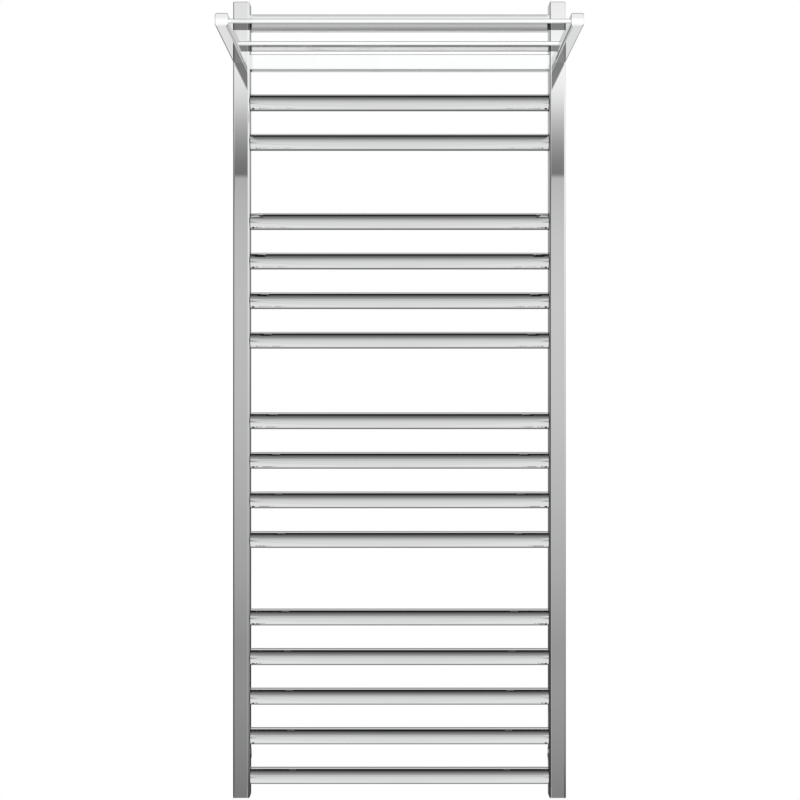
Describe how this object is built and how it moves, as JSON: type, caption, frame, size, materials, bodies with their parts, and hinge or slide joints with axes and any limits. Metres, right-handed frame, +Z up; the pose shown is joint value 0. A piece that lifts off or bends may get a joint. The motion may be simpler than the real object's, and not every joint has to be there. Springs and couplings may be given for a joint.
{
  "type": "ladder towel rail",
  "caption": "Wall-hung chrome ladder towel rail: round tubes in groups between two rectangular posts, an overhead shelf of flat slats on two square arms, telescopic wall brackets.",
  "frame": {"origin": "on the wall, in the middle of the four wall screws, with the rail pushed right in", "axes": "+X to the right as seen from the room, +Y into the wall, +Z up; the room is at -Y"},
  "size_m": [0.502, 0.3, 1.2],
  "materials": {
    "chrome": "polished chrome plate on steel tube",
    "foot_metal": "zinc plated, matt",
    "screw_steel": "plain hardened steel",
    "plated_brass": "nickel plated brass, turned",
    "bare_brass": "turned bare brass",
    "seal_rubber": "black sealing rubber"
  },
  "bodies": {
    "wall_fixings": {"wall_foot_upper_left": "foot_metal", "wall_foot_lower_left": "foot_metal", "wall_foot_upper_right": "foot_metal", "wall_foot_lower_right": "foot_metal"},
    "rail": {"left_post": "chrome", "left_top_cap": "chrome", "left_connection_socket": "chrome", "right_post": "chrome", "right_top_cap": "chrome", "right_connection_socket": "chrome", "rung_01": "chrome", "rung_02": "chrome", "rung_03": "chrome", "rung_04": "chrome", "rung_05": "chrome", "rung_06": "chrome", "rung_07": "chrome", "rung_08": "chrome", "rung_09": "chrome", "rung_10": "chrome", "rung_11": "chrome", "rung_12": "chrome", "rung_13": "chrome", "rung_14": "chrome", "rung_15": "chrome", "flat_bar_01": "chrome", "flat_bar_02": "chrome", "left_shelf_arm": "chrome", "left_arm_cap": "chrome", "right_shelf_arm": "chrome", "right_arm_cap": "chrome", "front_slat": "chrome", "rear_slat": "chrome", "bracket_sleeve_upper_left": "chrome", "bracket_sleeve_lower_left": "chrome", "bracket_sleeve_upper_right": "chrome", "bracket_sleeve_lower_right": "chrome", "grub_screws": "screw_steel", "left_rear_boss": "chrome", "right_rear_boss": "chrome", "air_vent_body": "plated_brass", "air_vent_seal": "seal_rubber", "blanking_plug": "plated_brass", "blanking_plug_seal": "seal_rubber"},
    "bleed_screw": {"bleed_screw": "bare_brass"}
  },
  "joints": [
    {"name": "bracket_slide", "type": "slide", "parent": "wall_fixings", "child": "rail", "axis": [0, -1, 0], "range_m": [0, 0.015]},
    {"name": "bleed_screw_turn", "type": "hinge", "parent": "rail", "child": "bleed_screw", "pos_m": [0.2385, -0.05, 0.584], "axis": [0, 1, 0], "range_deg": [0, 270]}
  ]
}
